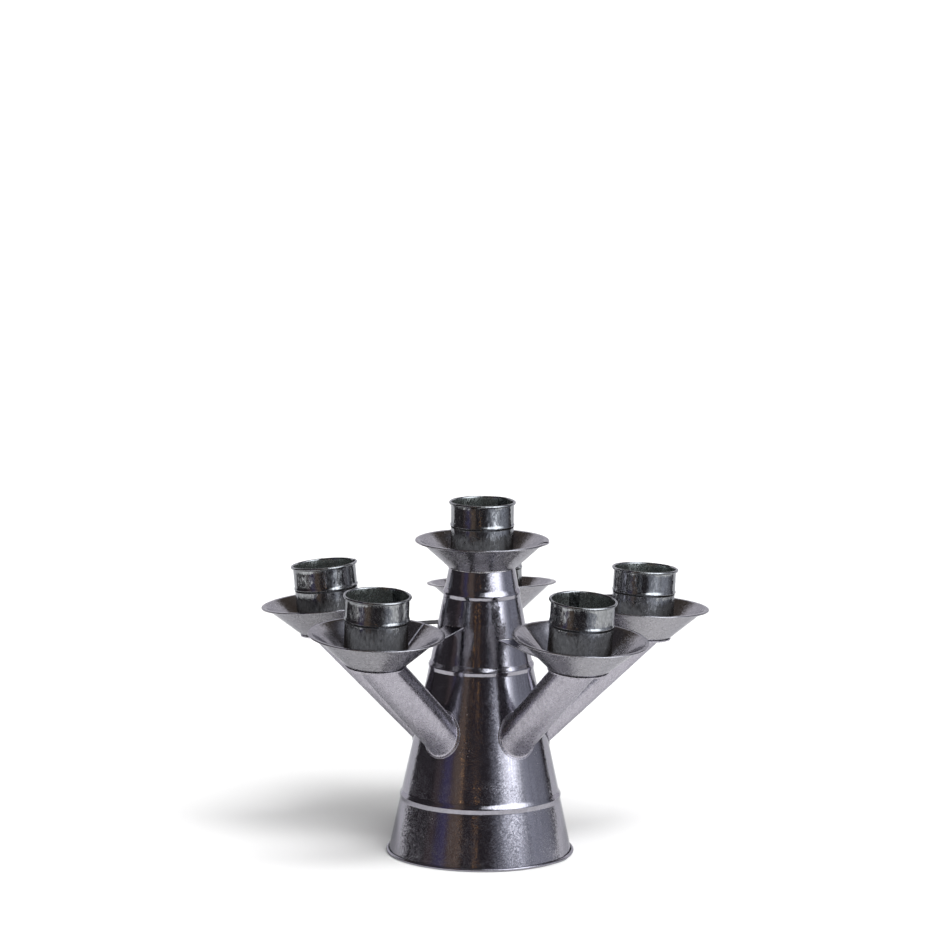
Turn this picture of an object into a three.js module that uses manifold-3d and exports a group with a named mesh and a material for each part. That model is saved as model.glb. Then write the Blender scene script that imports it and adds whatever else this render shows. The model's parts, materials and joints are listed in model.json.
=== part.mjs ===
// Galvanised steel candelabra. A beaded sheet-metal cone carries one candle cup on its top and five
// tubular arms, each ending in a conical drip pan with a candle cup. All joints are soldered.
// Millimetres, +Z up. It stands on z = 0, and the finished group is centred over its own outline.

import * as THREE from 'three';
import { mergeVertices } from 'three/addons/utils/BufferGeometryUtils.js';
import Module from 'manifold-3d';

const wasm = await Module();
wasm.setup();

// ---------------------------------------------------------------- driving dimensions

const SHEET = 0.5; // thickness of the galvanised sheet
const GAP = 0.3; // play left between neighbouring pieces
// A rolled edge: its outside radius, and the radius of the wire inside it.
const BODY_ROLL = { radius: 1.2, wire: 0.4 };
const CUP_ROLL = { radius: 1, wire: 0.25 };

const BODY = {
  facets: 40,
  footRadius: 65.6, // outside radius that the cone's side would have at z = 0
  bendHeight: 140,
  bendRadius: 36.1,
  topHeight: 206.8,
  topRadius: 23.4,
  beads: [42.5, 136.9, 189.3], // heights of the three swaged beads
  beadHalfHeight: 3.1,
  beadDepth: 1.1,
};

const CUP = {
  facets: 20,
  radius: 22.35, // outside radius of the wall
  foot: -18.5, // lower edge, measured from the underside of the drip pan's lip
  rim: 27.8, // centre of the rolled rim
  bead: 12.1,
  beadHalfHeight: 1.7,
  beadDepth: 0.6,
  floor: -18.3, // underside of the floor disc
};

const PAN = {
  facets: 32,
  slope: 1.1, // growth of the radius for each millimetre of height
  rim: 47.7, // outside radius of the flat lip
  lip: 3.7, // width of the lip, measured on its underside
  hem: 1.1, // thickness of the lip, with its edge folded under
};
const ARM_PAN = { depth: 21.7 };
const CENTRE_PAN = { depth: 17.9, height: 225.1 };

const PAN_FLOOR = {
  radius: 21.4, // outside radius of the turned-up edge, which closes round the pan's foot
  underside: -22.6, // heights measured from the underside of the drip pan's lip
  edgeTop: -21.3,
};

const TUBE = {
  facets: 16,
  radius: 13.5,
  rise: 41, // degrees above the horizontal
  axisReach: 112.9, // a point on the tube's axis: distance from the cone's axis
  axisHeight: 150.5, // and height
  innerReach: 34, // where the raw tube starts, inside the cone
  outerHeight: 163, // and where it ends, inside the drip pan
  flange: 2, // width of the flared foot soldered to the cone
  flangeSheet: 0.6,
};

const BRACE = { width: 15, thickness: 0.8, length: 88, buried: 12 }; // before it is trimmed

// Each arm's direction is its azimuth in degrees from the front (-Y), positive towards +X. Its
// holder sits at a reach and height, and leans outwards and sideways. Its brace leaves the cone at
// a height and falls outwards at an angle. The small differences are those of hand soldering.
const ARMS = [
  arm('front_left', -38, { reach: 118.1, height: 174.5, lean: [2, 3.5] }, { height: 167.3, fall: 11 }),
  arm('front_right', 35, { reach: 119.3, height: 173.4, lean: [5.5, 0.5] }, { height: 159, fall: 5 }),
  arm('right_back', 103.5, { reach: 119, height: 173.3, lean: [3, 0.5] }, { height: 163, fall: 8 }),
  arm('back', 176.5, { reach: 118.6, height: 173, lean: [5, 1.5] }, { height: 163, fall: 8 }),
  arm('left_back', -110, { reach: 118.5, height: 172.3, lean: [5.5, 1] }, { height: 164.5, fall: 8 }),
];

function arm(name, azimuth, holder, brace) {
  return { name, azimuth, holder, brace };
}

// ---------------------------------------------------------------- materials

const GALVANISED = { color: 0x8f9299, roughness: 0.3, metalness: 0.95 };
const DULL_GALVANISED = { color: 0xa4a3ab, roughness: 0.48, metalness: 0.85 };
const PAN_GALVANISED = { color: 0x7f807f, roughness: 0.4, metalness: 0.9 };
const WIRE_STEEL = { color: 0x6c6c6e, roughness: 0.45, metalness: 0.9 };

// ---------------------------------------------------------------- helpers

const radians = THREE.MathUtils.degToRad;

function named(name, geometry, finish) {
  const mesh = new THREE.Mesh(geometry, new THREE.MeshStandardMaterial(finish));
  mesh.name = name;
  return mesh;
}

// Turns a section, listed counter-clockwise as [radius, height], about the Z axis. The flat sides
// touch the true circle from outside.
function turned(section, facets) {
  const outward = 1 / Math.cos(Math.PI / facets);
  const points = section.map(([radius, height]) => new THREE.Vector2(radius * outward, height));
  const geometry = new THREE.LatheGeometry(points, facets);
  geometry.rotateX(Math.PI / 2);
  return geometry;
}

function turnedShell(section, facets) {
  return turned([...section, section[0]], facets);
}

// Points on an arc about [radius, height], at the given angles in degrees.
function arc(centre, arcRadius, angles) {
  return angles.map((angle) => [
    centre[0] + arcRadius * Math.cos(radians(angle)),
    centre[1] + arcRadius * Math.sin(radians(angle)),
  ]);
}

// The two faces of a sheet edge rolled outwards round a wire. The roll is six-sided, with its
// flats on the true circle, and stops short of the wall.
const ROLL_ANGLES = [180, 120, 60, 0, -60, -105];
const SIX_SIDES = 1 / Math.cos(Math.PI / 6);

function rollOutside(roll, centre, angles) {
  return arc(centre, roll.radius * SIX_SIDES, angles);
}

function rollInside(roll, centre, angles) {
  return arc(centre, (roll.radius - SHEET) * SIX_SIDES, angles);
}

function wireRing(roll, centre, facets) {
  return turnedShell(arc(centre, roll.wire, [0, 72, 144, 216, 288]), facets);
}

function toSolid(geometry) {
  const bare = geometry.clone();
  bare.deleteAttribute('normal');
  bare.deleteAttribute('uv');
  const merged = mergeVertices(bare, 1e-4);
  const vertProperties = new Float32Array(merged.attributes.position.array);
  const triVerts = new Uint32Array(merged.index.array);
  return new wasm.Manifold(new wasm.Mesh({ numProp: 3, vertProperties, triVerts }));
}

function toGeometry(solid) {
  const { vertProperties, triVerts } = solid.getMesh();
  const geometry = new THREE.BufferGeometry();
  geometry.setAttribute('position', new THREE.BufferAttribute(vertProperties, 3));
  geometry.setIndex(new THREE.BufferAttribute(triVerts, 1));
  geometry.computeVertexNormals();
  return geometry;
}

// ---------------------------------------------------------------- body

function bodyRadius(height) {
  const { footRadius, bendHeight, bendRadius, topHeight, topRadius } = BODY;
  if (height < bendHeight) {
    return THREE.MathUtils.mapLinear(height, 0, bendHeight, footRadius, bendRadius);
  }
  return THREE.MathUtils.mapLinear(height, bendHeight, topHeight, bendRadius, topRadius);
}

// The cone's side from foot to top, with its beads, moved inwards by an inset.
function bodySide(inset) {
  const side = [];
  for (const bead of BODY.beads) {
    for (const [step, depth] of [[-1, 0], [0, BODY.beadDepth], [1, 0]]) {
      const height = bead + step * BODY.beadHalfHeight;
      side.push([bodyRadius(height) + depth - inset, height]);
    }
  }
  side.push([BODY.topRadius - inset, BODY.topHeight]);
  return side;
}

const FOOT_CENTRE = [bodyRadius(BODY_ROLL.radius) - SHEET + BODY_ROLL.radius, BODY_ROLL.radius];

function bodyCone() {
  const downwards = ROLL_ANGLES.map((angle) => -angle);
  const section = [
    ...bodySide(0),
    ...bodySide(SHEET).reverse(),
    ...rollOutside(BODY_ROLL, FOOT_CENTRE, downwards),
    ...rollInside(BODY_ROLL, FOOT_CENTRE, downwards).reverse(),
  ];
  return turnedShell(section, BODY.facets);
}

// The space that the cone takes up, with a clearance, for trimming what meets it.
function coneSpace(clearance) {
  const section = [
    [0, 0],
    [bodyRadius(0) + clearance, 0],
    [BODY.bendRadius + clearance, BODY.bendHeight],
    [BODY.topRadius + clearance, BODY.topHeight],
    [0, BODY.topHeight],
  ];
  return toSolid(turned(section, BODY.facets));
}

// ---------------------------------------------------------------- candle holder

const RIM_CENTRE = [CUP.radius - SHEET + CUP_ROLL.radius, CUP.rim];

function cupSide(inset) {
  const { radius, foot, bead, beadHalfHeight, beadDepth } = CUP;
  return [
    [radius - inset, foot],
    [radius - inset, bead - beadHalfHeight],
    [radius - inset + beadDepth, bead],
    [radius - inset, bead + beadHalfHeight],
  ];
}

function candleCup() {
  const section = [
    ...cupSide(0),
    ...rollInside(CUP_ROLL, RIM_CENTRE, ROLL_ANGLES),
    ...rollOutside(CUP_ROLL, RIM_CENTRE, ROLL_ANGLES).reverse(),
    ...cupSide(SHEET).reverse(),
  ];
  return turnedShell(section, CUP.facets);
}

function cupFloor() {
  const radius = CUP.radius - SHEET - GAP;
  const section = [
    [0, CUP.floor],
    [radius, CUP.floor],
    [radius, CUP.floor + SHEET],
    [0, CUP.floor + SHEET],
  ];
  return turned(section, CUP.facets);
}

// The outside of a drip pan's wall. Heights are measured from the underside of its lip.
function panRadius(height) {
  return PAN.rim - PAN.lip + PAN.slope * height;
}

// A funnel, open at its foot, with a flat lip whose edge is folded under as a hem.
function dripPan(pan) {
  const levelThickness = SHEET * Math.hypot(1, PAN.slope);
  const section = [
    [panRadius(-pan.depth), -pan.depth],
    [panRadius(0), 0],
    [PAN.rim, 0],
    [PAN.rim, PAN.hem],
    [panRadius(PAN.hem) - levelThickness, PAN.hem],
    [panRadius(-pan.depth) - levelThickness, -pan.depth],
  ];
  return turnedShell(section, PAN.facets);
}

// A disc with a turned-up edge that closes an arm's drip pan at its foot.
function panFloor() {
  const { radius, underside, edgeTop } = PAN_FLOOR;
  const section = [
    [0, underside],
    [radius, underside],
    [radius, edgeTop],
    [radius - SHEET, edgeTop],
    [radius - SHEET, underside + SHEET],
    [0, underside + SHEET],
  ];
  return turned(section, PAN.facets);
}

// The space inside and round a drip pan and its floor, with a clearance, for trimming the tube
// and the brace.
function panSpace(placement) {
  const floorRadius = PAN_FLOOR.radius + GAP;
  const section = [
    [0, PAN_FLOOR.underside - GAP],
    [floorRadius, PAN_FLOOR.underside - GAP],
    [floorRadius, PAN_FLOOR.edgeTop],
    [panRadius(-GAP) + GAP * Math.hypot(1, PAN.slope), -GAP],
    [PAN.rim + GAP, -GAP],
    [PAN.rim + GAP, PAN.hem + GAP],
    [0, PAN.hem + GAP],
  ];
  return toSolid(turned(section, PAN.facets).applyMatrix4(placement));
}

function candleHolder(name, pan) {
  const holder = new THREE.Group();
  holder.add(
    named(`${name}_drip_pan`, dripPan(pan), PAN_GALVANISED),
    named(`${name}_candle_cup`, candleCup(), GALVANISED),
    named(`${name}_cup_floor`, cupFloor(), DULL_GALVANISED),
    named(`${name}_cup_wire`, wireRing(CUP_ROLL, RIM_CENTRE, CUP.facets), WIRE_STEEL),
  );
  return holder;
}

// ---------------------------------------------------------------- arm

// A straight rod along the tube's axis, in the arm's own frame: X outwards, Z up.
function rodOnTubeAxis(radius) {
  const slope = Math.tan(radians(TUBE.rise));
  const heightAt = (reach) => TUBE.axisHeight + (reach - TUBE.axisReach) * slope;
  const outerReach = TUBE.axisReach + (TUBE.outerHeight - TUBE.axisHeight) / slope;
  const start = new THREE.Vector3(TUBE.innerReach, 0, heightAt(TUBE.innerReach));
  const end = new THREE.Vector3(outerReach, 0, TUBE.outerHeight);
  const length = start.distanceTo(end);
  const rod = turned([[0, 0], [radius, 0], [radius, length], [0, length]], TUBE.facets);
  rod.rotateY(radians(90 - TUBE.rise));
  rod.translate(start.x, start.y, start.z);
  return toSolid(rod);
}

function armTube(holderPlacement) {
  const flaredFoot = coneSpace(GAP + TUBE.flangeSheet).intersect(rodOnTubeAxis(TUBE.radius + TUBE.flange));
  const tube = rodOnTubeAxis(TUBE.radius)
    .add(flaredFoot)
    .subtract(rodOnTubeAxis(TUBE.radius - SHEET))
    .subtract(coneSpace(GAP))
    .subtract(panSpace(holderPlacement));
  return toGeometry(tube);
}

// A flat strip from the cone's side down to the drip pan's foot, trimmed to what it meets.
function armBrace(brace, holderPlacement) {
  const coneReach = bodyRadius(brace.height);
  const strip = new THREE.BoxGeometry(BRACE.length, BRACE.width, BRACE.thickness);
  strip.translate(BRACE.length / 2 - BRACE.buried, 0, 0);
  strip.rotateY(radians(brace.fall));
  strip.translate(coneReach, 0, brace.height);
  const trimmed = toSolid(strip)
    .subtract(coneSpace(GAP))
    .subtract(panSpace(holderPlacement))
    .subtract(rodOnTubeAxis(TUBE.radius + GAP));
  return toGeometry(trimmed);
}

// Where a holder sits in its arm's frame, with its axis leaning away from the vertical.
function placeHolder(holder, { reach, height, lean }) {
  const upright = new THREE.Vector3(0, 0, 1);
  const leaning = new THREE.Vector3(Math.tan(radians(lean[0])), Math.tan(radians(lean[1])), 1);
  holder.position.set(reach, 0, height);
  holder.quaternion.setFromUnitVectors(upright, leaning.normalize());
  holder.updateMatrix();
}

function buildArm({ name, azimuth, holder, brace }) {
  const candleEnd = candleHolder(name, ARM_PAN);
  candleEnd.add(named(`${name}_pan_floor`, panFloor(), DULL_GALVANISED));
  placeHolder(candleEnd, holder);

  const group = new THREE.Group();
  group.add(
    named(`${name}_tube`, armTube(candleEnd.matrix), DULL_GALVANISED),
    named(`${name}_brace`, armBrace(brace, candleEnd.matrix), DULL_GALVANISED),
    candleEnd,
  );
  group.rotation.z = radians(azimuth - 90);
  return group;
}

// ---------------------------------------------------------------- assembly

function buildCandelabra() {
  const centreHolder = candleHolder('centre', CENTRE_PAN);
  centreHolder.position.z = CENTRE_PAN.height;

  const candelabra = new THREE.Group();
  candelabra.add(
    named('body_cone', bodyCone(), GALVANISED),
    named('base_rim_wire', wireRing(BODY_ROLL, FOOT_CENTRE, BODY.facets), WIRE_STEEL),
    centreHolder,
    ...ARMS.map(buildArm),
  );

  candelabra.updateMatrixWorld(true);
  const outline = new THREE.Box3().setFromObject(candelabra, true);
  const middle = outline.getCenter(new THREE.Vector3());
  candelabra.position.set(-middle.x, -middle.y, -outline.min.z);
  candelabra.updateMatrixWorld(true);
  return candelabra;
}

export default buildCandelabra();
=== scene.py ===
"""Galvanised steel candelabra: its finished surfaces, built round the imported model."""

import json
import math

import bmesh
import bpy
from mathutils import Matrix, Vector, noise


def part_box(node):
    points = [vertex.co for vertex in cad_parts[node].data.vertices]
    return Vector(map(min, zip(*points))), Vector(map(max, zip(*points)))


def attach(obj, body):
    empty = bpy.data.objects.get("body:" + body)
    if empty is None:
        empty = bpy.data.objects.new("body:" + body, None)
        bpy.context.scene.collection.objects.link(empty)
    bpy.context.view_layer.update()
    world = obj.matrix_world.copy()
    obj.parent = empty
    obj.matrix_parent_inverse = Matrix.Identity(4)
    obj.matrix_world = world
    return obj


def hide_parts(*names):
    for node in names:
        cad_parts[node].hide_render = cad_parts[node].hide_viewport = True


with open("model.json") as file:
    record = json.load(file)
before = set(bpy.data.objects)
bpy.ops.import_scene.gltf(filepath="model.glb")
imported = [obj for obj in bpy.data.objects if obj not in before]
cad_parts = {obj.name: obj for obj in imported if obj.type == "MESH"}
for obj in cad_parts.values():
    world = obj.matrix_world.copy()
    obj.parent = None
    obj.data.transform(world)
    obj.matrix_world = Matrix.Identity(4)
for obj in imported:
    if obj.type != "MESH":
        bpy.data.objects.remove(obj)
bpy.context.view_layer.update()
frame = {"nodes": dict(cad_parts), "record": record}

# ------------------------------------------------------------------ sizes, in millimetres

MM = 0.001
SHEET = 0.5
BODY_ROLL = 1.2  # outside radius of a sheet edge rolled round its wire
CUP_ROLL = 1.0
CONTACT = 0.04  # air left where two pieces touch

BODY_FOOT_RADIUS = 65.6
BODY_BEND_HEIGHT = 140.0
BODY_BEND_RADIUS = 36.1
BODY_TOP_HEIGHT = 206.8
BODY_TOP_RADIUS = 23.4
BODY_BEADS = (42.5, 136.9, 189.3)
BODY_BEAD_HALF = 3.1
BODY_BEAD_DEPTH = 1.1
BODY_SEAM = math.radians(61)

# Heights on a candle holder are measured from the underside of its drip pan's lip.
CUP_RADIUS = 22.35
CUP_FOOT = -18.5
CUP_RIM = 27.8
CUP_BEAD = 12.1
CUP_BEAD_HALF = 1.7
CUP_BEAD_DEPTH = 0.6
CUP_FLOOR = -18.3
SEAT_HEIGHT = -17.8

PAN_SLOPE = 1.1
PAN_RIM = 47.7
PAN_LIP = 3.7  # width of the flat lip's underside
PAN_HEM = 1.1  # thickness of the lip, its edge folded under
ARM_PAN_DEPTH = 21.7
CENTRE_PAN_DEPTH = 17.9
PAN_FLOOR_RADIUS = 21.4
PAN_FLOOR_UNDERSIDE = -22.6
PAN_FLOOR_EDGE = -21.3

TUBE_RADIUS = 13.5
TUBE_RISE = math.radians(41)
TUBE_AXIS_POINT = Vector((112.9, 0, 150.5))
TUBE_FLANGE = 2.0

BRACE_WIDTH = 15.0
BRACE_THICKNESS = 0.8
# Each arm's brace: its height at the cone and its fall outwards.
BRACES = {
    "front_left": (167.3, math.radians(11)),
    "front_right": (159.0, math.radians(5)),
    "right_back": (163.0, math.radians(8)),
    "back": (163.0, math.radians(8)),
    "left_back": (164.5, math.radians(8)),
}
# Where each drip pan's lap seam lies, as an angle round the pan from its outermost point.
PAN_SEAMS = {
    "centre": math.radians(80),
    "front_left": math.radians(173),
    "front_right": math.radians(205),
    "right_back": math.radians(160),
    "back": math.radians(200),
    "left_back": math.radians(170),
}
CUP_SEAMS = {
    "centre": math.radians(150),
    "front_left": math.radians(190),
    "front_right": math.radians(170),
    "right_back": math.radians(200),
    "back": math.radians(60),
    "left_back": math.radians(215),
}

# ------------------------------------------------------------------ places, from the frame

body_low, body_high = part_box("body_cone")
AXIS = Vector(((body_low.x + body_high.x) / 2, (body_low.y + body_high.y) / 2, 0)) / MM

seats = {
    m["name"].replace("_candle_seat", ""): (Vector(m["pos_m"]) / MM, Vector(m["axis"]))
    for m in frame["record"]["mounts"]
    if m["name"].endswith("_candle_seat")
}
HOLDERS = list(seats)
ARMS = [name for name in HOLDERS if name != "centre"]


def holder_place(name):
    """The drip pan's rim centre, with Z along the holder's axis and X away from the cone."""
    seat, up = seats[name]
    up = up.normalized()
    rim = seat - up * SEAT_HEIGHT
    outward = rim - AXIS
    outward.z = 0
    if outward.length < 1:
        outward = Vector((0, -1, 0))
    side = up.cross(outward).normalized()
    turn = Matrix((side.cross(up), side, up)).transposed().to_4x4()
    return Matrix.Translation(rim) @ turn


def arm_place(name):
    """The cone's axis at the foot, with Z up and X towards the arm."""
    rim = holder_place(name).translation - AXIS
    azimuth = math.atan2(rim.y, rim.x)
    return Matrix.Translation(AXIS) @ Matrix.Rotation(azimuth, 4, "Z")


# ------------------------------------------------------------------ mesh helpers


def finish_piece(mesh_object, material, replaced=(), sharp=math.radians(38)):
    mesh = mesh_object.data
    mesh.materials.append(material)
    for polygon in mesh.polygons:
        polygon.use_smooth = True
    mesh.set_sharp_from_angle(angle=sharp)
    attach(mesh_object, "root")
    if replaced:
        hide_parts(*replaced)
    return mesh_object


def new_object(name, points, faces):
    mesh = bpy.data.meshes.new(name)
    mesh.from_pydata([p * MM for p in points], [], faces)
    solid = bmesh.new()
    solid.from_mesh(mesh)
    bmesh.ops.recalc_face_normals(solid, faces=solid.faces)
    solid.to_mesh(mesh)
    solid.free()
    made = bpy.data.objects.new(name, mesh)
    bpy.context.scene.collection.objects.link(made)
    return made


def swept_faces(rows, count, closed, start=0):
    """Quads that join a row of section loops, with the two ends capped unless the row closes."""
    faces = []
    for i in range(rows if closed else rows - 1):
        here, there = start + i * count, start + (i + 1) % rows * count
        for k in range(count):
            m = (k + 1) % count
            faces.append((here + k, here + m, there + m, there + k))
    if not closed:
        last = start + (rows - 1) * count
        faces.append(tuple(range(start, start + count)))
        faces.append(tuple(range(last, last + count)))
    return faces


def swept(name, loops, closed=False):
    points = [p for loop in loops for p in loop]
    return new_object(name, points, swept_faces(len(loops), len(loops[0]), closed))


def wobble(angle, height, amount, seed):
    """Hand-rolled sheet is never quite round: a slow wave with faint upright flats."""
    slow = noise.noise(Vector((math.cos(angle) * 1.3, math.sin(angle) * 1.3, height / 70 + seed)))
    flats = noise.noise(Vector((math.cos(angle) * 5, math.sin(angle) * 5, height / 260 - seed)))
    return amount * (slow + 0.45 * flats)


def turned_sheet(section, place, seam, layer, lap=3.0, steps=180, wave=0.0, seed=0.0):
    """Loops of a sheet section turned about the local Z, lapped over itself at its seam.

    The section is a list of (radius, height). The sheet's end is lifted by one thickness along
    layer, a (radius, height) direction, so that it lies on its own beginning.
    """
    reach = max(radius for radius, _ in section)
    overlap = lap / reach
    lift_from = math.tau - 14 / reach
    loops = []
    for i in range(steps + 1):
        angle = (math.tau + overlap) * i / steps
        share = min(max((angle - lift_from) / (math.tau - lift_from), 0), 1)
        lift = (SHEET + CONTACT) * share * share * (3 - 2 * share)
        turn = seam + angle
        loop = []
        for radius, height in section:
            bend = wobble(turn, height, wave, seed) if wave else 0
            r = radius + lift * layer[0] + bend
            h = height + lift * layer[1]
            loop.append(place @ Vector((r * math.cos(turn), r * math.sin(turn), h)))
        loops.append(loop)
    return loops


def arc(centre, radius, first, last, steps):
    """Points from one angle to another, in degrees, about a (radius, height) centre."""
    points = []
    for i in range(steps + 1):
        angle = math.radians(first + (last - first) * i / steps)
        points.append((centre[0] + radius * math.cos(angle), centre[1] + radius * math.sin(angle)))
    return points


def bead_bump(distance, half, depth, soft=0.22):
    """How far a swaged bead stands out, at a distance from its middle: a soft-edged ridge."""
    share = abs(distance) / half
    if share < soft:
        return depth * (1 - soft / 2 - share * share / (2 * soft))
    if share < 1 - soft:
        return depth * (1 - share)
    if share < 1 + soft:
        return depth * (1 + soft - share) ** 2 / (4 * soft)
    return 0.0


# ------------------------------------------------------------------ materials


def tree_colour(tree, colour):
    node = tree.nodes.new("ShaderNodeRGB")
    node.outputs[0].default_value = colour
    return node.outputs[0]


def mix_colour(tree, factor, first, second):
    """A colour between two others. Each may be a colour or a socket."""
    mix = tree.nodes.new("ShaderNodeMix")
    mix.data_type = "RGBA"
    for socket, value in ((mix.inputs[0], factor), (mix.inputs[6], first), (mix.inputs[7], second)):
        if isinstance(value, bpy.types.NodeSocket):
            tree.links.new(value, socket)
        else:
            socket.default_value = value
    return mix.outputs[2]


def map_value(tree, source, low, high, to_low, to_high):
    """A value's range stretched onto another range, and held within it."""
    node = tree.nodes.new("ShaderNodeMapRange")
    tree.links.new(source, node.inputs["Value"])
    node.inputs["From Min"].default_value = low
    node.inputs["From Max"].default_value = high
    node.inputs["To Min"].default_value = to_low
    node.inputs["To Max"].default_value = to_high
    return node.outputs["Result"]


def arithmetic(tree, operation, first, second):
    node = tree.nodes.new("ShaderNodeMath")
    node.operation = operation
    for socket, value in zip(node.inputs, (first, second)):
        if isinstance(value, bpy.types.NodeSocket):
            tree.links.new(value, socket)
        else:
            socket.default_value = value
    return node.outputs[0]


def vector_math(tree, operation, first, second=None, scale=None):
    node = tree.nodes.new("ShaderNodeVectorMath")
    node.operation = operation
    for socket, value in zip(node.inputs, (first, second)):
        if isinstance(value, bpy.types.NodeSocket):
            tree.links.new(value, socket)
        elif value is not None:
            socket.default_value = value
    if scale is not None:
        node.inputs["Scale"].default_value = scale
    return node.outputs[0]


def noise_texture(tree, coordinates, scale, detail=2.0, roughness=0.5):
    node = tree.nodes.new("ShaderNodeTexNoise")
    tree.links.new(coordinates, node.inputs["Vector"])
    node.inputs["Scale"].default_value = scale
    node.inputs["Detail"].default_value = detail
    node.inputs["Roughness"].default_value = roughness
    return node


def drawn_streaks(tree, place, scale, apex):
    """Faint marks that run up the sheet, towards the apex of its cone if it has one."""
    parts = tree.nodes.new("ShaderNodeSeparateXYZ")
    tree.links.new(vector_math(tree, "SUBTRACT", place, AXIS * MM), parts.inputs[0])
    across, ahead, up = parts.outputs
    if apex:
        shrink = arithmetic(tree, "DIVIDE", apex, arithmetic(tree, "SUBTRACT", apex, up))
        across = arithmetic(tree, "MULTIPLY", across, shrink)
        ahead = arithmetic(tree, "MULTIPLY", ahead, shrink)
    joined = tree.nodes.new("ShaderNodeCombineXYZ")
    tree.links.new(across, joined.inputs["X"])
    tree.links.new(ahead, joined.inputs["Y"])
    tree.links.new(arithmetic(tree, "MULTIPLY", up, 0.07), joined.inputs["Z"])
    return noise_texture(tree, joined.outputs[0], scale, 3.0, 0.65).outputs["Fac"]


def galvanised(name, dark, light, rough, spangle=1000.0, tilt=0.06, haze=0.3, grain=0.03,
               apex=0.0, stretch=1.0, metal=1.0):
    """Zinc-coated steel: a fine mosaic of crystals, each with its own tilt, tone and gloss,
    under a cloudy film of dulling, drawn streaks and a few handling marks.

    dark and light are the crystals' tones, and rough is their range of roughness. spangle is the
    number of crystals to the metre, apex the height where a cone's streaks meet, in metres, and
    a stretch below 1 draws the crystals out upwards.
    """
    material = bpy.data.materials.new(name)
    material.use_nodes = True
    tree = material.node_tree
    shader = tree.nodes["Principled BSDF"]
    shader.inputs["Metallic"].default_value = metal
    shader.inputs["Specular Tint"].default_value = (0.6, 0.6, 0.63, 1)
    place = tree.nodes.new("ShaderNodeTexCoord").outputs["Object"]

    warp = noise_texture(tree, place, spangle * 0.7, 1.0)
    shifted = vector_math(tree, "SCALE", warp.outputs["Color"], scale=0.6 / spangle)
    squeezed = vector_math(tree, "MULTIPLY", place, (1.0, 1.0, stretch))
    crystals = tree.nodes.new("ShaderNodeTexVoronoi")
    crystals.inputs["Scale"].default_value = spangle
    tree.links.new(vector_math(tree, "ADD", squeezed, shifted), crystals.inputs["Vector"])
    tone = tree.nodes.new("ShaderNodeSeparateColor")
    tree.links.new(crystals.outputs["Color"], tone.inputs[0])

    clouds = noise_texture(tree, place, 60.0, 5.0, 0.66).outputs["Fac"]
    marks = noise_texture(tree, place, 260.0, 6.0, 0.7).outputs["Fac"]
    streaks = drawn_streaks(tree, place, 420.0, apex)
    film = map_value(tree, clouds, 0.4, 0.68, 0.0, haze)
    scuffs = map_value(tree, marks, 0.6, 0.72, 0.0, 1.0)
    drawn = map_value(tree, streaks, 0.35, 0.68, 0.0, 1.0)

    crystal_tone = mix_colour(tree, tone.outputs[0], dark, light)
    dulled = [c * 0.9 for c in light[:3]] + [1.0]
    filmed = mix_colour(tree, film, crystal_tone, dulled)
    darker = [c * 0.72 for c in dark[:3]] + [1.0]
    worn = mix_colour(tree, arithmetic(tree, "MULTIPLY", drawn, 0.4), filmed, darker)
    tree.links.new(worn, shader.inputs["Base Color"])

    gloss = map_value(tree, tone.outputs[1], 0.0, 1.0, rough[0], rough[1])
    patches = arithmetic(tree, "MULTIPLY", film, tone.outputs[2])
    for layer, share in ((patches, 0.4), (scuffs, 0.05), (drawn, 0.04)):
        gloss = arithmetic(tree, "ADD", gloss, arithmetic(tree, "MULTIPLY", layer, share))
    tree.links.new(gloss, shader.inputs["Roughness"])

    centred = vector_math(tree, "SUBTRACT", crystals.outputs["Color"], (0.5, 0.5, 0.5))
    tilted = vector_math(tree, "SCALE", centred)
    rough_patches = map_value(tree, clouds, 0.42, 0.62, tilt * 0.75, tilt * 1.8)
    tree.links.new(rough_patches, tilted.node.inputs["Scale"])
    surface = tree.nodes.new("ShaderNodeNewGeometry").outputs["Normal"]
    leaning = vector_math(tree, "NORMALIZE", vector_math(tree, "ADD", surface, tilted))
    bump = tree.nodes.new("ShaderNodeBump")
    bump.inputs["Strength"].default_value = grain
    bump.inputs["Distance"].default_value = 0.0002
    relief = noise_texture(tree, place, 900.0, 4.0, 0.65).outputs["Fac"]
    tree.links.new(arithmetic(tree, "ADD", relief, streaks), bump.inputs["Height"])
    tree.links.new(leaning, bump.inputs["Normal"])
    tree.links.new(bump.outputs["Normal"], shader.inputs["Normal"])
    return material


BODY_STEEL = galvanised(
    "galvanised_body", (0.29, 0.283, 0.315, 1), (0.36, 0.352, 0.39, 1), (0.06, 0.17),
    spangle=1250, tilt=0.045, grain=0.02, apex=0.315)
CUP_STEEL = galvanised(
    "galvanised_cup", (0.22, 0.227, 0.235, 1), (0.37, 0.38, 0.39, 1), (0.06, 0.18),
    spangle=1100, haze=0.35, grain=0.04, stretch=0.42)
CUP_INSIDE = galvanised(
    "galvanised_cup_inside", (0.25, 0.275, 0.268, 1), (0.36, 0.385, 0.375, 1), (0.12, 0.26),
    tilt=0.045, haze=0.4, stretch=0.6, metal=0.93)
PAN_STEEL = galvanised(
    "galvanised_pan", (0.272, 0.266, 0.284, 1), (0.362, 0.355, 0.378, 1), (0.09, 0.2),
    spangle=1150, tilt=0.05, haze=0.32, grain=0.05, metal=0.985)
PAN_OUTSIDE = galvanised(
    "galvanised_pan_outside", (0.29, 0.284, 0.3, 1), (0.385, 0.378, 0.4, 1), (0.12, 0.24),
    spangle=1150, tilt=0.05, haze=0.5, grain=0.05, metal=0.92)
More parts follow.
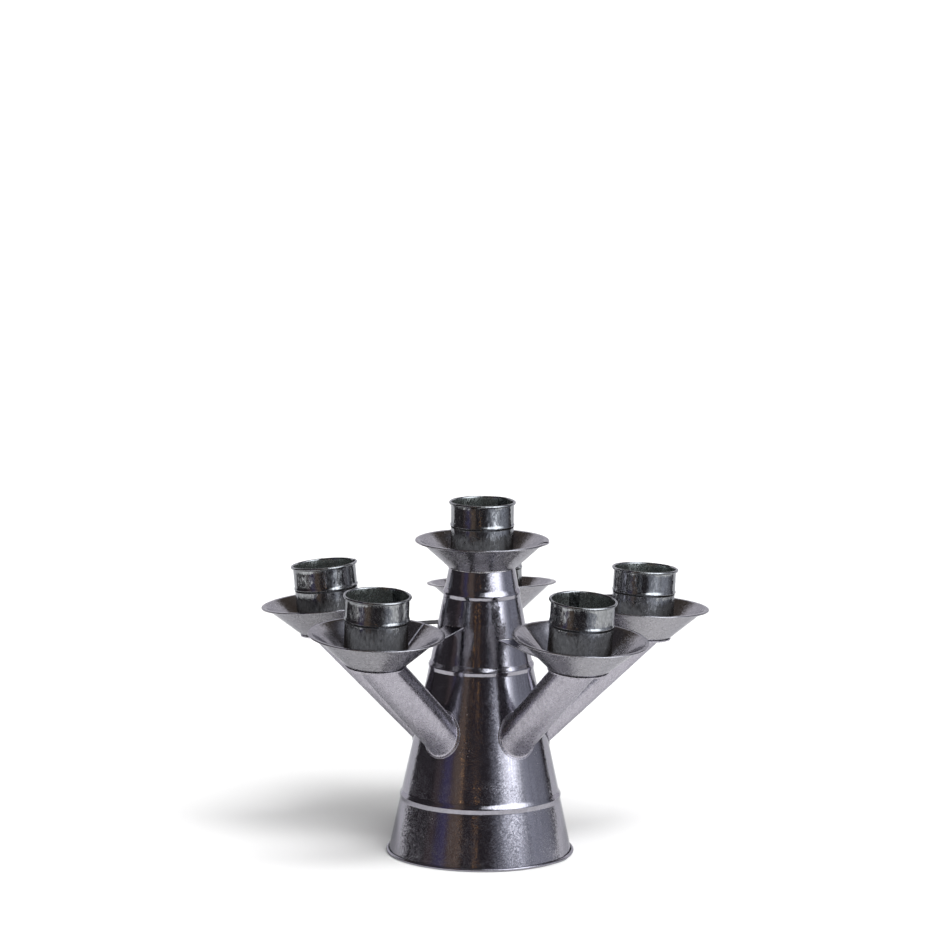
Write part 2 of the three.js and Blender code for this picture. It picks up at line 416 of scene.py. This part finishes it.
TUBE_STEEL = galvanised(
    "galvanised_tube", (0.33, 0.316, 0.355, 1), (0.44, 0.424, 0.47, 1), (0.16, 0.28),
    spangle=1200, tilt=0.04, haze=0.5, grain=0.05, metal=0.95)
BRACE_STEEL = galvanised(
    "galvanised_brace", (0.26, 0.258, 0.275, 1), (0.34, 0.335, 0.355, 1), (0.1, 0.22),
    spangle=1100, tilt=0.05)
# A pale copy of the brace steel for the braces' bevelled edges: a painted highlight, the bright
# line of light that the edges catch.
BRACE_EDGE_HIGHLIGHT = galvanised(
    "sheared_edge", (0.62, 0.61, 0.63, 1), (0.8, 0.79, 0.81, 1), (0.2, 0.32),
    spangle=900, tilt=0.05)
# A near-black copy of the brace steel: painted shade for the left-back brace, which lies in shade
# behind a drip pan.
SHADED_BRACE_STEEL = galvanised(
    "stained_brace", (0.07, 0.068, 0.07, 1), (0.13, 0.127, 0.13, 1), (0.35, 0.55),
    spangle=900, tilt=0.05, haze=0.6, grain=0.1)
FLOOR_STEEL = galvanised(
    "galvanised_floor", (0.26, 0.27, 0.265, 1), (0.35, 0.36, 0.355, 1), (0.2, 0.36),
    spangle=900, haze=0.6, grain=0.1, metal=0.86)
WIRE_ZINC = galvanised(
    "zinc_wire", (0.2, 0.2, 0.2, 1), (0.3, 0.3, 0.3, 1), (0.3, 0.45),
    spangle=1200, tilt=0.05)
SOLDER = galvanised(
    "tin_solder", (0.4, 0.39, 0.4, 1), (0.56, 0.55, 0.56, 1), (0.08, 0.2),
    spangle=900, tilt=0.14, haze=0.4, grain=0.3)

# ------------------------------------------------------------------ body


def body_radius(height):
    if height < BODY_BEND_HEIGHT:
        share = height / BODY_BEND_HEIGHT
        return BODY_FOOT_RADIUS + (BODY_BEND_RADIUS - BODY_FOOT_RADIUS) * share
    share = (height - BODY_BEND_HEIGHT) / (BODY_TOP_HEIGHT - BODY_BEND_HEIGHT)
    return BODY_BEND_RADIUS + (BODY_TOP_RADIUS - BODY_BEND_RADIUS) * share


def body_heights():
    """Close steps through each bead and wide ones between."""
    heights = {BODY_TOP_HEIGHT}
    for i in range(20):
        heights.add(BODY_ROLL + (BODY_TOP_HEIGHT - BODY_ROLL) * i / 20)
    for bead in BODY_BEADS:
        heights = {h for h in heights if abs(h - bead) > BODY_BEAD_HALF * 1.4}
        heights |= {bead + BODY_BEAD_HALF * i / 7 for i in range(-9, 10)}
    return sorted(heights)


def body_side(inset):
    side = []
    for height in body_heights():
        out = sum(bead_bump(height - bead, BODY_BEAD_HALF, BODY_BEAD_DEPTH) for bead in BODY_BEADS)
        side.append((body_radius(height) + out - inset, height))
    return side


def make_body():
    roll = (body_radius(BODY_ROLL) - SHEET + BODY_ROLL, BODY_ROLL)
    section = [
        *body_side(0),
        *reversed(body_side(SHEET)[1:]),
        *arc(roll, BODY_ROLL, 180, 465, 16),
        *arc(roll, BODY_ROLL - SHEET, 465, 180, 10),
    ]
    place = Matrix.Translation(AXIS) @ Matrix.Rotation(math.radians(-90), 4, "Z")
    loops = turned_sheet(section, place, BODY_SEAM, (1, 0), 6.0, 240, wave=0.16, seed=3.1)
    return finish_piece(swept("body_shell", loops), BODY_STEEL, ["body_cone"])


# ------------------------------------------------------------------ candle holders


def cup_side(inset):
    radius = CUP_RADIUS - inset
    side = [(radius, CUP_FOOT), (radius, CUP_FOOT + 8), (radius, CUP_FOOT + 20)]
    for i in range(-6, 7):
        step = CUP_BEAD_HALF * i / 4.9
        side.append((radius + bead_bump(step, CUP_BEAD_HALF, CUP_BEAD_DEPTH), CUP_BEAD + step))
    side += [(radius, CUP_BEAD + 6), (radius, CUP_BEAD + 12)]
    return side


def make_cup(name):
    roll = (CUP_RADIUS - SHEET + CUP_ROLL, CUP_RIM)
    section = [
        *cup_side(0),
        *arc(roll, CUP_ROLL - SHEET, 180, -105, 9),
        *arc(roll, CUP_ROLL, -105, 180, 14),
        *reversed(cup_side(SHEET)),
    ]
    seed = HOLDERS.index(name) * 2.7
    loops = turned_sheet(
        section, holder_place(name), CUP_SEAMS[name], (1, 0), 3.0, 120, wave=0.11, seed=seed)
    cup = finish_piece(swept(f"{name}_cup", loops), CUP_STEEL, [f"{name}_candle_cup"])
    cup.data.materials.append(CUP_INSIDE)
    to_holder = holder_place(name).inverted()
    for polygon in cup.data.polygons:
        local = to_holder @ (polygon.center / MM)
        if math.hypot(local.x, local.y) < CUP_RADIUS - SHEET * 0.6 and local.z < CUP_RIM:
            polygon.material_index = 1
    return cup


def disc(name, section, place, steps=96):
    """A solid turned from a section that starts and ends on the axis."""
    points = [place @ Vector((0, 0, section[0][1])), place @ Vector((0, 0, section[-1][1]))]
    rings = section[1:-1]
    for i in range(steps):
        angle = math.tau * i / steps
        points += [place @ Vector((r * math.cos(angle), r * math.sin(angle), h)) for r, h in rings]
    faces = []
    count = len(rings)
    for i in range(steps):
        here, there = 2 + i * count, 2 + (i + 1) % steps * count
        faces.append((0, there, here))
        faces.append((1, here + count - 1, there + count - 1))
        faces += [(here + k, there + k, there + k + 1, here + k + 1) for k in range(count - 1)]
    return new_object(name, points, faces)


def make_cup_floor(name):
    radius = CUP_RADIUS - SHEET - 0.1
    section = [
        (0, CUP_FLOOR),
        (radius - 0.3, CUP_FLOOR),
        (radius, CUP_FLOOR + 0.15),
        (radius, CUP_FLOOR + SHEET),
        (radius - 1.4, CUP_FLOOR + SHEET),
        (radius - 2.4, CUP_FLOOR + SHEET - 0.2),
        (radius - 4, CUP_FLOOR + SHEET - 0.2),
        (radius - 5, CUP_FLOOR + SHEET),
        (0, CUP_FLOOR + SHEET),
    ]
    floor = disc(f"{name}_floor", section, holder_place(name))
    return finish_piece(floor, FLOOR_STEEL, [f"{name}_cup_floor"])


def pan_section(depth):
    """A funnel's wall with a flat lip, whose edge is folded under as a hem."""
    slant = math.hypot(1, PAN_SLOPE)
    level = SHEET * slant
    wall = PAN_RIM - PAN_LIP

    def outside(height):
        return wall + PAN_SLOPE * height

    section = [(outside(-depth * (1 - i / 8)), -depth * (1 - i / 8)) for i in range(8)]
    section += [(outside(-0.35), -0.35), (wall + 0.05, -0.12), (wall + 0.35, 0.0)]
    half = PAN_HEM / 2
    section += [(PAN_RIM - 2.4, 0.0), (PAN_RIM - half, 0.0)]
    section += arc((PAN_RIM - half, half), half, -70, 70, 8)
    section += [(PAN_RIM - half, PAN_HEM), (PAN_RIM - 1.6, PAN_HEM - 0.01)]
    inner = outside(PAN_HEM) - level
    section += [(inner + 0.7, PAN_HEM - 0.02), (inner + 0.25, PAN_HEM - 0.12)]
    section += [(inner - 0.2, PAN_HEM - 0.45)]
    top = PAN_HEM - 1.6
    section += [(outside(h) - level, h) for h in (top - (depth + top) * i / 7 for i in range(8))]
    return section


def make_pan(name):
    depth = CENTRE_PAN_DEPTH if name == "centre" else ARM_PAN_DEPTH
    slant = math.hypot(1, PAN_SLOPE)
    layer = (1 / slant, -PAN_SLOPE / slant)
    loops = turned_sheet(
        pan_section(depth), holder_place(name), PAN_SEAMS[name], layer, 4.0, 160,
        wave=0.22, seed=HOLDERS.index(name) * 1.9 + 11)
    pan = finish_piece(swept(f"{name}_pan", loops), PAN_STEEL, [f"{name}_drip_pan"])
    pan.data.materials.append(PAN_OUTSIDE)
    for polygon in pan.data.polygons:
        if polygon.normal.z < -0.2:
            polygon.material_index = 1
    return pan


def make_pan_floor(name):
    inner = PAN_FLOOR_RADIUS - SHEET
    section = [
        (0, PAN_FLOOR_UNDERSIDE),
        (PAN_FLOOR_RADIUS - 0.6, PAN_FLOOR_UNDERSIDE),
        (PAN_FLOOR_RADIUS - 0.15, PAN_FLOOR_UNDERSIDE + 0.2),
        (PAN_FLOOR_RADIUS, PAN_FLOOR_UNDERSIDE + 0.6),
        (PAN_FLOOR_RADIUS, PAN_FLOOR_EDGE - 0.2),
        (PAN_FLOOR_RADIUS - 0.2, PAN_FLOOR_EDGE),
        (inner, PAN_FLOOR_EDGE),
        (inner, PAN_FLOOR_UNDERSIDE + SHEET),
        (0, PAN_FLOOR_UNDERSIDE + SHEET),
    ]
    floor = disc(f"{name}_pan_base", section, holder_place(name))
    return finish_piece(floor, TUBE_STEEL, [f"{name}_pan_floor"])


# ------------------------------------------------------------------ arms


def in_pan(point, to_holder, clearance):
    """Whether a point lies in the space of an arm's drip pan, below its rim."""
    local = to_holder @ point
    radius = math.hypot(local.x, local.y)
    if local.z < PAN_FLOOR_UNDERSIDE - clearance:
        return False
    if radius < PAN_FLOOR_RADIUS + clearance and local.z < PAN_FLOOR_EDGE:
        return True
    return radius < PAN_RIM - PAN_LIP + PAN_SLOPE * local.z + clearance * 1.49


def in_cone(point, clearance):
    """Whether a point lies in the cone, in an arm's frame."""
    return math.hypot(point.x, point.y) < body_radius(point.z) + clearance


def boundary(start, direction, low, high, inside):
    """The distance along a line where inside turns from true at low to false at high."""
    for _ in range(30):
        middle = (low + high) / 2
        if inside(start + direction * middle):
            low = middle
        else:
            high = middle
    return (low + high) / 2


TUBE_ALONG = Vector((math.cos(TUBE_RISE), 0, math.sin(TUBE_RISE)))
TUBE_UP = Vector((-math.sin(TUBE_RISE), 0, math.cos(TUBE_RISE)))


def tube_line(angle, radius):
    side = Vector((0, 1, 0))
    return TUBE_AXIS_POINT + (TUBE_UP * math.cos(angle) + side * math.sin(angle)) * radius


def tube_foot(angle, radius, clearance):
    start = tube_line(angle, radius)
    return boundary(start, TUBE_ALONG, -100, -30, lambda p: in_cone(p, clearance))


def tube_top(angle, radius, to_holder):
    start = tube_line(angle, radius)
    return boundary(start, -TUBE_ALONG, -14, 40, lambda p: in_pan(p, to_holder, CONTACT))


def cone_normal(point):
    slope = (body_radius(point.z - 0.5) - body_radius(point.z + 0.5)) / 1.0
    return Vector((point.x, point.y, slope * math.hypot(point.x, point.y))).normalized()


def on_cone(point, clearance):
    """The point moved level onto the cone's surface."""
    flat = math.hypot(point.x, point.y)
    share = (body_radius(point.z) + clearance) / flat
    return Vector((point.x * share, point.y * share, point.z))


def tube_loop(angle, lift, to_holder):
    """One section of a tube's wall, from the edge of its flared foot up, and down inside."""
    radius = TUBE_RADIUS + lift
    foot_at = tube_foot(angle, radius, CONTACT)
    line = tube_line(angle, radius)
    foot = line + TUBE_ALONG * foot_at
    ahead = tube_line(angle + 0.02, radius) + TUBE_ALONG * tube_foot(angle + 0.02, radius, CONTACT)
    normal = cone_normal(foot)
    away = (ahead - foot).normalized().cross(normal)
    if away.dot(foot - TUBE_AXIS_POINT - TUBE_ALONG * (foot - TUBE_AXIS_POINT).dot(TUBE_ALONG)) < 0:
        away = -away
    ragged = 0.35 * noise.noise(Vector((math.cos(angle) * 2, math.sin(angle) * 2, foot.z / 20)))
    edge = on_cone(foot + away * (TUBE_FLANGE + ragged), CONTACT)
    edge_normal = cone_normal(edge)
    flat_end = on_cone(foot + away * 1.0, CONTACT) + cone_normal(foot) * SHEET
    wall_start = line + TUBE_ALONG * (foot_at + 1.5)
    corner = foot + normal * SHEET * 0.9
    loop = [edge, edge + edge_normal * SHEET * 0.6, edge + edge_normal * SHEET - away * 0.25]
    for i in range(6):
        t = i / 5
        loop.append(flat_end.lerp(corner, t).lerp(corner.lerp(wall_start, t), t))
    top_at = -tube_top(angle, radius, to_holder)
    for i in range(1, 13):
        loop.append(line + TUBE_ALONG * (foot_at + 1.5 + (top_at - foot_at - 1.5) * i / 12))
    inner = tube_line(angle, radius - SHEET)
    inner_top = -tube_top(angle, radius - SHEET, to_holder)
    inner_foot = tube_foot(angle, radius - SHEET, CONTACT)
    for i in range(5):
        loop.append(inner + TUBE_ALONG * (inner_top + (inner_foot - inner_top) * i / 4))
    return loop


def make_tube(name):
    place = arm_place(name)
    to_holder = holder_place(name).inverted() @ place
    steps = 100
    overlap = 3.0 / TUBE_RADIUS
    seam = math.radians(25)
    seed = HOLDERS.index(name) * 3.3
    loops = []
    for i in range(steps + 1):
        angle = (math.tau + overlap) * i / steps
        share = min(max((angle - math.tau + 0.6) / 0.6, 0), 1)
        lift = (SHEET + CONTACT) * share * share * (3 - 2 * share) + wobble(angle, 0, 0.12, seed)
        loops.append([place @ p for p in tube_loop(seam + angle, lift, to_holder)])
    tube = swept(f"{name}_arm_tube", loops)
    return finish_piece(tube, TUBE_STEEL, [f"{name}_tube"])


def in_tube(point, clearance):
    offset = point - TUBE_AXIS_POINT
    return (offset - TUBE_ALONG * offset.dot(TUBE_ALONG)).length < TUBE_RADIUS + clearance


def brace_line(name, across):
    """A line along the brace's middle layer, at a distance across it."""
    height, fall = BRACES[name]
    start = Vector((body_radius(height), across, height))
    return start, Vector((math.cos(fall), 0, -math.sin(fall)))


def brace_ends(name, across, to_holder):
    start, along = brace_line(name, across)
    inner = boundary(start, along, -30, 20, lambda p: in_cone(p, CONTACT))

    def stopped(point):
        return in_pan(point, to_holder, CONTACT) or in_tube(point, CONTACT)

    outer = -boundary(start, -along, -75, -35, stopped)
    return inner, outer


def make_brace(name):
    place = arm_place(name)
    to_holder = holder_place(name).inverted() @ place
    up = brace_line(name, 0)[1].cross(Vector((0, 1, 0)))
    up = up if up.z > 0 else -up
    half = BRACE_THICKNESS / 2
    loops = []
    for i in range(31):
        loop = []
        share = i / 30
        for layer, order in ((half, 1), (-half, -1)):
            for k in range(13)[::order]:
                across = BRACE_WIDTH * (k / 12 - 0.5)
                start, along = brace_line(name, across)
                inner, outer = brace_ends(name, across, to_holder)
                sag = 0.5 * math.sin(math.pi * share) * (1 - (across / 9) ** 2)
                dent = 0.25 * noise.noise(Vector((share * 3, across / 9, HOLDERS.index(name) * 5)))
                point = start + along * (inner + (outer - inner) * share)
                loop.append(place @ (point + up * (layer - sag * 0.4 + dent)))
        loops.append(loop)
    # the left-back brace is painted dark as shade; the other braces get plain brace steel
    steel = SHADED_BRACE_STEEL if name == "left_back" else BRACE_STEEL
    brace = finish_piece(swept(f"{name}_strap", loops), steel, [f"{name}_brace"])
    bevel = brace.modifiers.new("edges", "BEVEL")
    bevel.width = 0.3 * MM
    bevel.segments = 3
    bevel.limit_method = "ANGLE"
    bevel.angle_limit = math.radians(50)
    # the bevel's faces get the painted highlight material
    if steel is BRACE_STEEL:
        brace.data.materials.append(BRACE_EDGE_HIGHLIGHT)
        bevel.material = 1
    return brace


# ------------------------------------------------------------------ solder


def solder_bead(points, radius, seed, closed):
    """Section loops of an uneven round bead that follows a row of points."""
    loops = []
    last = len(points) - 1
    for i, point in enumerate(points):
        before = points[i - 1] if i or closed else point
        after = points[(i + 1) % len(points)] if i < last or closed else point
        along = (after - before).normalized()
        side = along.orthogonal().normalized()
        rise = along.cross(side)
        size = radius * (1 + 0.45 * noise.noise(point / 5 + Vector((seed, 0, 0))))
        if not closed:
            size *= 0.35 + 0.65 * math.sin(math.pi * (i + 0.5) / (last + 1)) ** 0.5
        turn = 0.0
        if loops:
            previous = loops[-1][0] - points[i - 1]
            turn = math.atan2(previous.dot(rise), previous.dot(side))
        loops.append([
            point + (side * math.cos(turn + a) + rise * math.sin(turn + a)) * size
            for a in (math.tau * k / 10 for k in range(10))
        ])
    return loops


def make_solder(name, runs):
    """All of one holder's solder as one piece of several beads."""
    points, faces = [], []
    for loops, closed in runs:
        faces += swept_faces(len(loops), len(loops[0]), closed, len(points))
        points += [p for loop in loops for p in loop]
    return finish_piece(new_object(name, points, faces), SOLDER, sharp=math.pi)


def ring(place, radius, height, steps=90):
    return [
        place @ Vector((radius * math.cos(a), radius * math.sin(a), height))
        for a in (math.tau * i / steps for i in range(steps))
    ]


def holder_solder(name):
    """Solder round the cup's foot, and for an arm round the tube's top and at the brace."""
    place = holder_place(name)
    seed = HOLDERS.index(name) * 7.0
    runs = [(solder_bead(ring(place, CUP_RADIUS + 0.3, CUP_FOOT + 0.5), 0.7, seed, True), True)]
    if name == "centre":
        neck = ring(Matrix.Translation(AXIS), BODY_TOP_RADIUS + 0.1, BODY_TOP_HEIGHT - 0.1)
        runs.append((solder_bead(neck, 0.55, seed + 1, True), True))
        return make_solder(f"{name}_solder", runs)

    arm = arm_place(name)
    to_holder = place.inverted() @ arm
    top = []
    for i in range(90):
        angle = math.tau * i / 90
        reach = -tube_top(angle, TUBE_RADIUS, to_holder)
        top.append(arm @ (tube_line(angle, TUBE_RADIUS) + TUBE_ALONG * (reach - 0.1)))
    runs.append((solder_bead(top, 0.5, seed + 2, True), True))
    for end in (0, 1):
        line = []
        for k in range(13):
            start, along = brace_line(name, BRACE_WIDTH * (k / 12 - 0.5) * 0.96)
            reach = brace_ends(name, start.y, to_holder)[end]
            line.append(arm @ (start + along * reach))
        runs.append((solder_bead(line, 0.75, seed + 3 + end, False), False))
    return make_solder(f"{name}_solder", runs)


# ------------------------------------------------------------------ the whole object

make_body()
for holder in HOLDERS:
    make_cup(holder)
    make_cup_floor(holder)
    make_pan(holder)
    holder_solder(holder)
for arm_name in ARMS:
    make_tube(arm_name)
    make_brace(arm_name)
    make_pan_floor(arm_name)
for node_name, node_object in frame["nodes"].items():
    if node_name.endswith("_wire"):
        node_object.data.materials.clear()
        node_object.data.materials.append(WIRE_ZINC)

# ------------------------------------------------------------------ studio

# Distances are in metres here. Azimuths are in degrees, 0 in front and positive to the right.
FLOOR_SIZE = 60.0
KEY_AZIMUTH = math.radians(29)
KEY_HEIGHT = math.radians(54)
KEY_ENERGY = 4.7
KEY_SPREAD = math.radians(54)
WALL_DISTANCE = 0.8
WALL_TOP = 3.0
WALL_SWEEP = 125  # how far round the screen reaches on either side
TABLE_EDGE = 0.45  # where the pale table stops and its dark front begins
SOFT_LIGHT_AZIMUTH = 49.0
# The small warm lamps, each an ellipse on the screen: the azimuth and height of its middle.
WARM_LAMPS = [(-5, 0.3), (-16, 0.305), (-28, 0.19), (-6, 0.152)]
LAMP_HALF_WIDTH = 1.5  # degrees
LAMP_HALF_HEIGHT = 0.011


def glossy_only(stage_object):
    """Something that the steel mirrors, but that lights and shades nothing else."""
    stage_object.visible_camera = False
    stage_object.visible_diffuse = False
    stage_object.visible_shadow = False
    stage_object.visible_transmission = False
    stage_object.visible_volume_scatter = False


def make_floor():
    half = FLOOR_SIZE / 2
    mesh = bpy.data.meshes.new("studio_floor")
    corners = [(-half, -half, 0), (half, -half, 0), (half, half, 0), (-half, half, 0)]
    mesh.from_pydata(corners, [], [(0, 1, 2, 3)])
    floor = bpy.data.objects.new("studio_floor", mesh)
    bpy.context.scene.collection.objects.link(floor)
    material = bpy.data.materials.new("studio_floor")
    material.use_nodes = True
    shader = material.node_tree.nodes["Principled BSDF"]
    shader.inputs["Base Color"].default_value = (0.86, 0.86, 0.86, 1)
    shader.inputs["Roughness"].default_value = 0.9
    shader.inputs["Specular IOR Level"].default_value = 0.0
    shader.inputs["Emission Color"].default_value = (1, 0.99, 1, 1)
    shader.inputs["Emission Strength"].default_value = 0.04
    mesh.materials.append(material)


def make_key():
    light = bpy.data.lights.new("key", "SUN")
    light.energy = KEY_ENERGY
    light.angle = KEY_SPREAD
    lamp = bpy.data.objects.new("key", light)
    flat = math.cos(KEY_HEIGHT)
    source = Vector((
        math.sin(KEY_AZIMUTH) * flat, -math.cos(KEY_AZIMUTH) * flat, math.sin(KEY_HEIGHT)))
    lamp.rotation_euler = source.to_track_quat("Z", "Y").to_euler()
    lamp.visible_glossy = False
    bpy.context.scene.collection.objects.link(lamp)


# The dark room in front of the object, and the few plain things that stand in it. Each has the
# azimuth of its middle, half its width, how soft its edges are, and its colour.
DARK_ROOM = (0.045, 0.04, 0.045, 1)
ROOM_THINGS = [
    (-66, 5, 3, (0.13, 0.1, 0.1, 1)),  # a narrow post
    (-51, 8, 4, (0.1, 0.09, 0.18, 1)),  # a blue curtain
    (-35, 9, 4, (0.2, 0.15, 0.12, 1)),  # a brown cupboard
    (65, 40, 12, (0.5, 0.52, 0.6, 1)),  # a pale wall
]


def make_surroundings():
    """A curved screen with the studio's dark room and one tall soft light on it."""
    steps = 125
    points, faces = [], []
    for i in range(steps + 1):
        azimuth = math.radians(-WALL_SWEEP + 2 * WALL_SWEEP * i / steps)
        across, ahead = WALL_DISTANCE * math.sin(azimuth), WALL_DISTANCE * math.cos(azimuth)
        points += [(across, -ahead, 0.0), (across, -ahead, WALL_TOP)]
        if i:
            faces.append((2 * i - 2, 2 * i, 2 * i + 1, 2 * i - 1))
    # the dark strip in front of the table, just above the floor
    faces.append(tuple(range(len(points), len(points) + 4)))
    near, far = (0.7, TABLE_EDGE), (0.45, WALL_DISTANCE)
    for sign, (across, ahead) in ((-1, near), (1, near), (1, far), (-1, far)):
        points.append((sign * across, -ahead, 0.003))
    mesh = bpy.data.meshes.new("surroundings")
    mesh.from_pydata([Vector(p) + AXIS * MM for p in points], [], faces)
    screen = bpy.data.objects.new("surroundings", mesh)
    bpy.context.scene.collection.objects.link(screen)

    material = bpy.data.materials.new("surroundings")
    material.use_nodes = True
    tree = material.node_tree
    tree.nodes.clear()
    place = tree.nodes.new("ShaderNodeTexCoord").outputs["Object"]
    parts = tree.nodes.new("ShaderNodeSeparateXYZ")
    tree.links.new(place, parts.inputs[0])
    across = arithmetic(tree, "SUBTRACT", parts.outputs["X"], AXIS.x * MM)
    ahead = arithmetic(tree, "SUBTRACT", AXIS.y * MM, parts.outputs["Y"])
    azimuth = arithmetic(tree, "ARCTAN2", across, ahead)
    azimuth = arithmetic(tree, "MULTIPLY", azimuth, 180 / math.pi)
    height = parts.outputs["Z"]

    room = tree_colour(tree, DARK_ROOM)
    for middle, half_width, soft, colour in ROOM_THINGS:
        away = arithmetic(tree, "ABSOLUTE", arithmetic(tree, "SUBTRACT", azimuth, middle), 0.0)
        within = map_value(tree, away, half_width - soft, half_width + soft, 1.0, 0.0)
        room = mix_colour(tree, within, room, colour)

    # all of it uneven, in upright streaks that vary slowly with height
    streaked = tree.nodes.new("ShaderNodeCombineXYZ")
    tree.links.new(arithmetic(tree, "MULTIPLY", azimuth, 0.16), streaked.inputs["X"])
    tree.links.new(arithmetic(tree, "MULTIPLY", height, 2.2), streaked.inputs["Y"])
    streaks = noise_texture(tree, streaked.outputs[0], 1.0, 3.0, 0.6).outputs["Fac"]
    uneven = map_value(tree, streaks, 0.3, 0.7, 0.5, 1.5)
    room = vector_math(tree, "SCALE", room)
    tree.links.new(uneven, room.node.inputs["Scale"])

    # the soft light: wider higher up, faded at its foot and crown, and brightest in its middle
    offset = arithmetic(tree, "SUBTRACT", azimuth, SOFT_LIGHT_AZIMUTH)
    offset = arithmetic(tree, "ABSOLUTE", offset, 0.0)
    upper = map_value(tree, height, 0.24, 0.75, 0.0, 26.0)
    offset = arithmetic(tree, "SUBTRACT", offset, upper)
    wide = map_value(tree, offset, 5.0, 27.0, 1.0, 0.0)
    wide = arithmetic(tree, "MULTIPLY", wide, wide)
    foot = map_value(tree, height, 0.13, 0.158, 0.08, 1.0)
    crown = map_value(tree, height, 2.3, 2.7, 1.0, 0.0)
    light = arithmetic(tree, "MULTIPLY", arithmetic(tree, "MULTIPLY", wide, foot), crown)
    light = arithmetic(tree, "MULTIPLY", light, map_value(tree, height, 0.17, 0.36, 2.8, 3.4))
    glow = vector_math(tree, "SCALE", tree_colour(tree, (0.94, 0.97, 1.0, 1)))
    tree.links.new(light, glow.node.inputs["Scale"])

    # small warm lamps far off in the room
    warm = None
    for angle, level in WARM_LAMPS:
        aside = arithmetic(tree, "SUBTRACT", azimuth, angle)
        aside = arithmetic(tree, "DIVIDE", aside, LAMP_HALF_WIDTH)
        above = arithmetic(tree, "SUBTRACT", height, level)
        above = arithmetic(tree, "DIVIDE", above, LAMP_HALF_HEIGHT)
        reach = arithmetic(tree, "ADD", arithmetic(tree, "MULTIPLY", aside, aside),
                           arithmetic(tree, "MULTIPLY", above, above))
        lamp = map_value(tree, reach, 0.0, 1.0, 3.4, 0.0)
        warm = arithmetic(tree, "ADD", warm, lamp) if warm else lamp
    lamps = vector_math(tree, "SCALE", tree_colour(tree, (1.0, 0.55, 0.2, 1)))
    tree.links.new(warm, lamps.node.inputs["Scale"])

    total = vector_math(tree, "ADD", vector_math(tree, "ADD", room, glow), lamps)
    emission = tree.nodes.new("ShaderNodeEmission")
    tree.links.new(total, emission.inputs["Color"])
    output = tree.nodes.new("ShaderNodeOutputMaterial")
    tree.links.new(emission.outputs[0], output.inputs["Surface"])
    mesh.materials.append(material)
    glossy_only(screen)


def make_world():
    """A white backdrop low down, a dark ceiling and one light on it; seen directly, all white."""
    world = bpy.data.worlds.new("studio")
    bpy.context.scene.world = world
    world.use_nodes = True
    tree = world.node_tree
    background = tree.nodes["Background"]
    direction = tree.nodes.new("ShaderNodeTexCoord").outputs["Generated"]
    parts = tree.nodes.new("ShaderNodeSeparateXYZ")
    tree.links.new(direction, parts.inputs[0])
    backdrop = map_value(tree, parts.outputs["Z"], 0.54, 0.64, 1.0, 0.0)
    clouds = noise_texture(tree, direction, 2.2, 2.0).outputs["Fac"]
    ceiling = mix_colour(tree, clouds, (0.05, 0.038, 0.03, 1), (0.13, 0.105, 0.085, 1))
    distance = vector_math(tree, "DISTANCE", direction, (0.02, 0.24, 0.97)).node.outputs["Value"]
    overhead = map_value(tree, distance, 0.14, 0.32, 1.0, 0.0)
    roof = mix_colour(tree, overhead, ceiling, (1.2, 1.22, 1.2, 1))
    lit = mix_colour(tree, backdrop, roof, (1.1, 1.08, 1.12, 1))
    rays = tree.nodes.new("ShaderNodeLightPath")
    lit = mix_colour(tree, rays.outputs["Is Diffuse Ray"], lit, (0.2, 0.2, 0.2, 1))
    seen = rays.outputs["Is Camera Ray"]
    tree.links.new(mix_colour(tree, seen, lit, (1, 1, 1, 1)), background.inputs["Color"])


def make_camera():
    """The viewpoint: 3.17 m in front, 0.78 m up, looking slightly down through a long lens."""
    distance, height = 3.174, 0.7776
    pitch, yaw, roll = math.radians(9.01), math.radians(-0.13), math.radians(0.41)
    forward = Vector((math.sin(yaw) * math.cos(pitch), math.cos(yaw) * math.cos(pitch),
                      -math.sin(pitch)))
    right = Vector((math.cos(yaw), -math.sin(yaw), 0))
    up = right.cross(forward)
    across = right * math.cos(roll) + up * math.sin(roll)
    above = up * math.cos(roll) - right * math.sin(roll)
    data = bpy.data.cameras.new("camera")
    data.sensor_width = 36
    data.lens = 172.74
    camera = bpy.data.objects.new("camera", data)
    turn = Matrix((across, above, -forward)).transposed().to_4x4()
    camera.matrix_world = Matrix.Translation(AXIS * MM + Vector((0, -distance, height))) @ turn
    bpy.context.scene.collection.objects.link(camera)
    bpy.context.scene.camera = camera


make_floor()
make_key()
make_surroundings()
make_world()
make_camera()
bpy.context.scene.view_settings.view_transform = "Standard"
